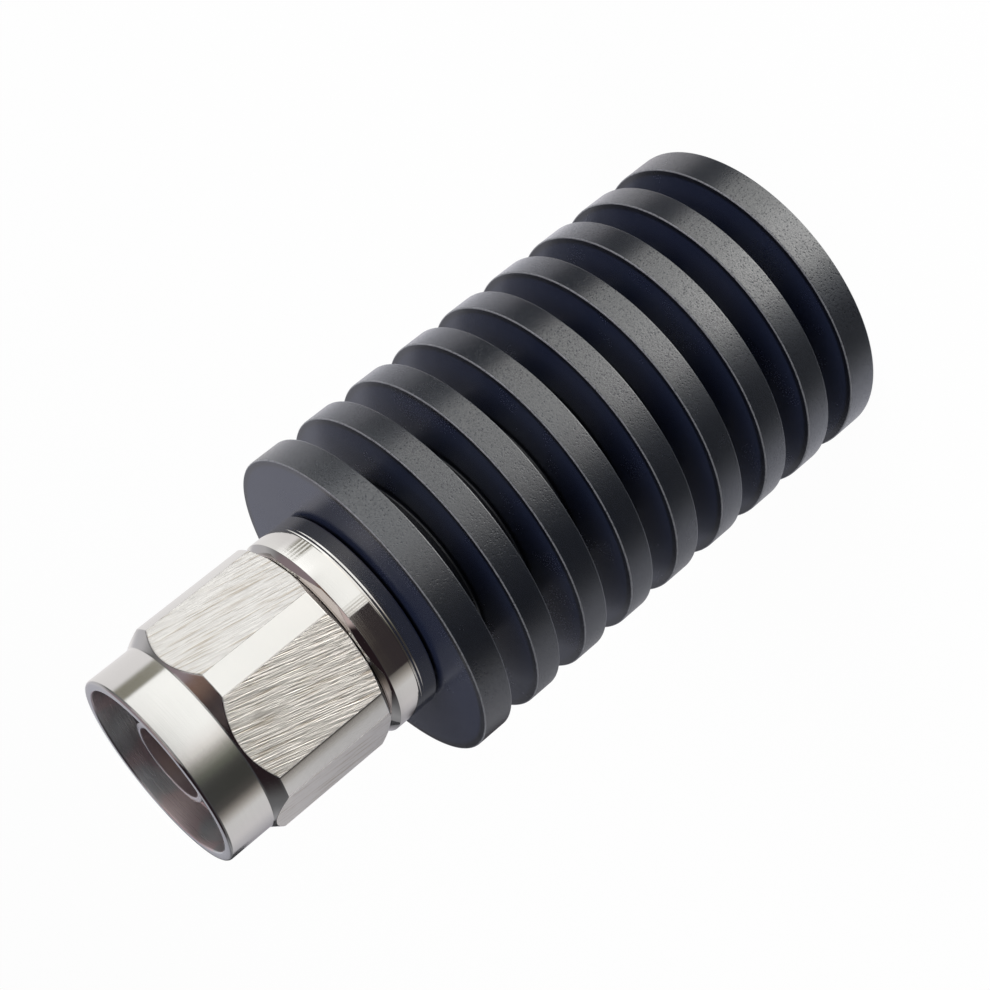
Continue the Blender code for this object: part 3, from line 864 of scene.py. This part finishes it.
WALL_BANDS = [
    (-180, (0.60, 0.59, 0.62)),
    (-172, (0.34, 0.33, 0.36)),
    (-160, (0.27, 0.26, 0.28)),
    (-140, (0.40, 0.39, 0.41)),
    (-120, (0.56, 0.54, 0.55)),
    (-94, (0.59, 0.58, 0.58)),
    (-88, (0.47, 0.45, 0.43)),
    (-80, (0.24, 0.22, 0.20)),
    (-72, (0.07, 0.065, 0.06)),
    (-60, (0.042, 0.042, 0.038)),
    (-48, (0.042, 0.042, 0.038)),
    (-40, (0.055, 0.055, 0.05)),
    (-30, (0.13, 0.135, 0.11)),
    (-20, (0.33, 0.32, 0.29)),
    (-10, (0.76, 0.73, 0.70)),
    (-2, (0.93, 0.91, 0.89)),
    (10, (1.0, 1.0, 0.98)),
    (79, (1.0, 1.0, 0.98)),
    (83, (0.22, 0.21, 0.17)),
    (98, (0.22, 0.21, 0.17)),
    (105, (0.69, 0.67, 0.67)),
    (165, (0.69, 0.67, 0.67)),
    (180, (0.60, 0.59, 0.62)),
]
FLAT_BANDS = [
    (-180, (0.60, 0.59, 0.62)),
    (-172, (0.34, 0.33, 0.36)),
    (-140, (0.40, 0.39, 0.41)),
    (-120, (0.56, 0.54, 0.55)),
    (-94, (0.59, 0.58, 0.58)),
    (-86, (0.42, 0.40, 0.38)),
    (-72, (0.06, 0.055, 0.05)),
    (-52, (0.07, 0.06, 0.05)),
    (-42, (0.065, 0.055, 0.045)),
    (-31, (0.13, 0.114, 0.094)),
    (-20, (0.17, 0.147, 0.124)),
    (-8, (0.25, 0.225, 0.20)),
    (4, (0.50, 0.475, 0.45)),
    (11, (0.79, 0.79, 0.78)),
    (50, (0.79, 0.79, 0.78)),
    (62, (1.25, 1.25, 1.24)),
    (98, (1.25, 1.25, 1.24)),
    (112, (0.80, 0.79, 0.78)),
    (165, (0.69, 0.67, 0.67)),
    (180, (0.60, 0.59, 0.62)),
]
CEILING_BANDS = [
    (-180, (0.34, 0.34, 0.38)),
    (-160, (0.12, 0.12, 0.13)),
    (-140, (0.25, 0.25, 0.26)),
    (-125, (0.12, 0.12, 0.125)),
    (-90, (0.08, 0.08, 0.08)),
    (-76, (0.05, 0.05, 0.055)),
    (-5, (0.05, 0.05, 0.055)),
    (20, (0.09, 0.09, 0.09)),
    (50, (0.28, 0.27, 0.26)),
    (80, (0.16, 0.16, 0.16)),
    (115, (0.12, 0.12, 0.12)),
    (135, (0.42, 0.41, 0.42)),
    (165, (0.45, 0.44, 0.47)),
    (180, (0.34, 0.34, 0.38)),
]
STUDIO_STRENGTH = 1.25
NEAR_TABLE_STRENGTH = 3.6
SHELF_COLOR = (0.032, 0.026, 0.028)
ROOF_DARK = (0.016, 0.010, 0.012)
ROOF_COLOR = (0.16, 0.10, 0.078)
ROOF_SIDE = (0.22, 0.175, 0.19)
WINDOW_COLOR = (1.0, 1.0, 1.0)
ZENITH_COLOR = (0.48, 0.39, 0.38)
SLATS_COLOR = (0.85, 0.84, 0.82)
SLATS_PER_TURN = 72.0
COMB_COLOR = (0.52, 0.50, 0.46)
COMB_PER_TURN = 120.0

# Soft edges of the studio's zones, in degrees from where a zone starts to where it is full. Those named
# SIDE, LEFT and RIGHT are azimuths, and the others are heights.
FLATS_TOP = (-12.6, -13.2)
FLATS_FOOT = (-16.6, -16.2)
DIM_SIDE = (12, -4)
DIM_FOOT = (-16.4, -15.2)
DIM_SHARE = 0.45         # share of the light that the dim zone takes away
TABLE_EDGE = (-17.8, -18.8)
TABLE_NEAR = (-19, -32)
TABLE_POWER = 3.5        # keeps the near table's colours to the lowest part
SHELF_LEFT = (-75, -73)
SHELF_RIGHT = (0, -1)
SHELF_FAR_SIDE = (-132, -158)
SHELF_TOP = (-16.1, -16.4)
SHELF_FOOT = (-19.2, -18.8)
CEILING_EDGE = (-2, 8)
ROOF_EDGE = (28, 40)
ROOF_LIT_SIDE = (20, 60)
ROOF_FAR_SIDE = (60, 75)
WINDOW_LEFT = (-16, -4)
WINDOW_RIGHT = (78, 74)
WINDOW_TOP = (40, 37)
WINDOW_FOOT = (31, 33)
ZENITH_LEFT = (-26, -6)
ZENITH_RIGHT = (100, 70)
ZENITH_EDGE = (64, 67)
SLATS_LEFT = (81, 82)
SLATS_RIGHT = (100, 99)
COMB_LEFT = (0, 1)
COMB_RIGHT = (13, 6)
STRIPES_TOP = (-16.3, -16.5)
STRIPES_FOOT = (-18.8, -18.4)
STRIPE_SOFTNESS = 0.4    # value of the stripes' sine wave where they are full

# White surroundings
FLOOR_GLOW = 0.97        # share of plain white in what is seen of the floor
FLOOR_COLOR = (0.9, 0.9, 0.9, 1.0)
WHITE = (1.0, 1.0, 1.0, 1.0)
AMBIENT = 0.35
FLAG_COLOR = (0.045, 0.045, 0.05, 1.0)


def seen_directly(tree):
    """1 for camera, glossy and transmission rays, and 0 for others."""
    path = add(tree, "ShaderNodeLightPath").outputs
    seen = math_node(tree, "MAXIMUM", path["Is Camera Ray"], path["Is Glossy Ray"])
    return math_node(tree, "MAXIMUM", seen, path["Is Transmission Ray"])


def stage_piece(name, shape, level, material):
    """A stage object at a height, with a bmesh as its form."""
    piece = bpy.data.objects.new(name, bpy.data.meshes.new(name))
    shape.to_mesh(piece.data)
    shape.free()
    piece.data.materials.append(material)
    piece.location.z = level
    bpy.context.scene.collection.objects.link(piece)
    return piece


def only_reflected(piece):
    """Hide a stage object from all but reflections."""
    for ray in ("camera", "diffuse", "shadow", "volume_scatter"):
        setattr(piece, f"visible_{ray}", False)


def bare_material(name):
    """A material and its node tree, without any node."""
    material = bpy.data.materials.new(name)
    material.use_nodes = True
    material.node_tree.nodes.clear()
    return material, material.node_tree


def studio_light():
    """Light of the studio: bands by azimuth at several heights, with a window, a shelf and stripes."""
    material, tree = bare_material("studio_shell")
    material.cycles.emission_sampling = "NONE"
    _, x, y, z, across = place(tree)
    azimuth = math_node(tree, "ARCTAN2", y, x)
    rise = math_node(tree, "ARCTAN2", z, across)

    def bands(stops):
        """Colours round the stage."""
        turn = map_range(tree, azimuth, -math.pi, math.pi, kind="LINEAR")
        ramp = add(tree, "ShaderNodeValToRGB", {"Fac": turn})
        elements = ramp.color_ramp.elements
        elements.remove(elements[-1])
        elements[0].color = (*stops[0][1], 1.0)
        for angle, color in stops[1:]:
            elements.new((angle + 180) / 360).color = (*color, 1.0)
        return ramp.outputs["Color"]

    def zone(*edges, full=1.0):
        """Share of a zone, up to full, from its soft edges: pairs of an angle and two degrees."""
        share = full
        for angle, (start, end) in edges:
            edge = map_range(tree, angle, math.radians(start), math.radians(end))
            share = math_node(tree, "MULTIPLY", edge, share)
        return share

    def stripes(left, right, per_turn):
        """Share of upright stripes just above the table, between two azimuths."""
        wave = math_node(tree, "SINE", math_node(tree, "MULTIPLY", azimuth, per_turn))
        return zone((azimuth, left), (azimuth, right), (rise, STRIPES_TOP), (rise, STRIPES_FOOT),
                    full=map_range(tree, wave, 0.0, STRIPE_SOFTNESS))

    dim = zone((azimuth, DIM_SIDE), (rise, DIM_FOOT), full=DIM_SHARE)
    flats = mix_color(tree, dim, bands(FLAT_BANDS), (0.0, 0.0, 0.0))
    color = mix_color(tree, zone((rise, FLATS_TOP), (rise, FLATS_FOOT)), bands(WALL_BANDS), flats)
    near_start, near_end = (math.radians(angle) for angle in TABLE_NEAR)
    nearness = map_range(tree, rise, near_start, near_end, kind="LINEAR")
    nearness = math_node(tree, "POWER", nearness, TABLE_POWER)
    table = mix_color(tree, nearness, bands(FAR_TABLE_BANDS), bands(NEAR_TABLE_BANDS))
    color = mix_color(tree, zone((rise, TABLE_EDGE)), color, table)
    shelf_sides = math_node(tree, "ADD", zone((azimuth, SHELF_LEFT), (azimuth, SHELF_RIGHT)),
                            zone((azimuth, SHELF_FAR_SIDE)))
    shelf = zone((rise, SHELF_TOP), (rise, SHELF_FOOT), full=shelf_sides)
    color = mix_color(tree, shelf, color, SHELF_COLOR)
    color = mix_color(tree, zone((rise, CEILING_EDGE)), color, bands(CEILING_BANDS))
    roof = mix_color(tree, zone((azimuth, ROOF_LIT_SIDE)), ROOF_DARK, ROOF_COLOR)
    roof = mix_color(tree, zone((azimuth, ROOF_FAR_SIDE)), roof, ROOF_SIDE)
    color = mix_color(tree, zone((rise, ROOF_EDGE)), color, roof)
    window = zone((azimuth, WINDOW_LEFT), (azimuth, WINDOW_RIGHT), (rise, WINDOW_TOP), (rise, WINDOW_FOOT))
    color = mix_color(tree, window, color, WINDOW_COLOR)
    zenith = zone((azimuth, ZENITH_LEFT), (azimuth, ZENITH_RIGHT), (rise, ZENITH_EDGE))
    color = mix_color(tree, zenith, color, ZENITH_COLOR)
    color = mix_color(tree, stripes(SLATS_LEFT, SLATS_RIGHT, SLATS_PER_TURN), color, SLATS_COLOR)
    color = mix_color(tree, stripes(COMB_LEFT, COMB_RIGHT, COMB_PER_TURN), color, COMB_COLOR)
    strength = map_range(tree, nearness, 0.0, 1.0, STUDIO_STRENGTH, NEAR_TABLE_STRENGTH, kind="LINEAR")
    glow = add(tree, "ShaderNodeEmission", {"Color": color, "Strength": strength})
    add(tree, "ShaderNodeOutputMaterial", {"Surface": glow.outputs[0]})
    return material


def make_studio():
    """A shell round the stage that only reflections see: a light window, a white table and dark gaps."""
    shape = bmesh.new()
    bmesh.ops.create_uvsphere(
        shape, u_segments=STUDIO_STEPS, v_segments=STUDIO_STEPS // 2, radius=STUDIO_RADIUS)
    shell = stage_piece("studio_shell", shape, STUDIO_LEVEL, studio_light())
    only_reflected(shell)


def make_flag():
    """Dark card behind the part, which the heatsink's front face reflects on one side."""
    shape = bmesh.new()
    corners = [(FLAG_X, y, z) for y, z in ((FLAG_NEAR, FLAG_LOW), (FLAG_FAR, FLAG_LOW),
                                           (FLAG_FAR, FLAG_HIGH), (FLAG_NEAR, FLAG_HIGH))]
    shape.faces.new([shape.verts.new(corner) for corner in corners])
    material = bpy.data.materials.new("flag")
    tree, shader = new_tree(material)
    feed(tree, shader, {"Base Color": FLAG_COLOR, "Roughness": 0.9})
    flag = stage_piece("flag", shape, 0.0, material)
    only_reflected(flag)


def make_floor():
    """White floor that keeps the part's soft shadow."""
    material, tree = bare_material("floor")
    share = math_node(tree, "MULTIPLY", seen_directly(tree), FLOOR_GLOW)
    paper = add(tree, "ShaderNodeBsdfDiffuse", {"Color": FLOOR_COLOR})
    glow = add(tree, "ShaderNodeEmission", {"Color": WHITE, "Strength": 1.0})
    mixed = add(tree, "ShaderNodeMixShader", {0: share, 1: paper.outputs[0], 2: glow.outputs[0]})
    add(tree, "ShaderNodeOutputMaterial", {"Surface": mixed.outputs[0]})
    shape = bmesh.new()
    bmesh.ops.create_grid(shape, x_segments=1, y_segments=1, size=FLOOR_REACH)
    floor = stage_piece("floor", shape, FLOOR_LEVEL, material)
    floor.visible_glossy = False


def make_world():
    """White backdrop, and an even ambient light."""
    world = bpy.data.worlds.new("studio")
    bpy.context.scene.world = world
    world.use_nodes = True
    tree = world.node_tree
    strength = map_range(tree, seen_directly(tree), 0.0, 1.0, AMBIENT, 1.0, kind="LINEAR")
    feed(tree, tree.nodes["Background"], {"Color": WHITE, "Strength": strength})


def make_lamp(name, azimuth, elevation, distance, size, energy):
    """Soft square lamp that faces the part. Reflections see the studio shell in its place."""
    light = bpy.data.lights.new(name, "AREA")
    light.size = size
    light.energy = energy
    lamp = bpy.data.objects.new(name, light)
    turn = math.radians(azimuth)
    rise = math.radians(elevation)
    away = Vector((math.cos(turn) * math.cos(rise), math.sin(turn) * math.cos(rise), math.sin(rise)))
    lamp.location = LAMP_AIM + away * distance
    lamp.rotation_mode = "QUATERNION"
    lamp.rotation_quaternion = away.to_track_quat("Z", "Y")
    lamp.visible_camera = False
    lamp.visible_glossy = False
    bpy.context.scene.collection.objects.link(lamp)


def make_camera():
    """Camera at the photograph's place, rolled as the part lies in the photograph."""
    data = bpy.data.cameras.new("camera")
    data.sensor_width = CAMERA_SENSOR
    data.lens = CAMERA_LENS
    data.clip_start = CAMERA_NEAR
    data.clip_end = CAMERA_FAR
    camera = bpy.data.objects.new("camera", data)
    camera.location = CAMERA_POSITION
    camera.rotation_mode = "QUATERNION"
    level = (CAMERA_AIM - CAMERA_POSITION).to_track_quat("-Z", "Y")
    camera.rotation_quaternion = level @ Quaternion((0, 0, 1), CAMERA_ROLL)
    bpy.context.scene.collection.objects.link(camera)
    bpy.context.scene.camera = camera


make_studio()
make_flag()
make_floor()
make_world()
make_lamp("key", azimuth=35, elevation=35, distance=0.5, size=0.35, energy=2.0)
make_lamp("fill", azimuth=-110, elevation=40, distance=0.6, size=0.4, energy=0.8)
make_camera()
bpy.context.scene.view_settings.view_transform = "Standard"
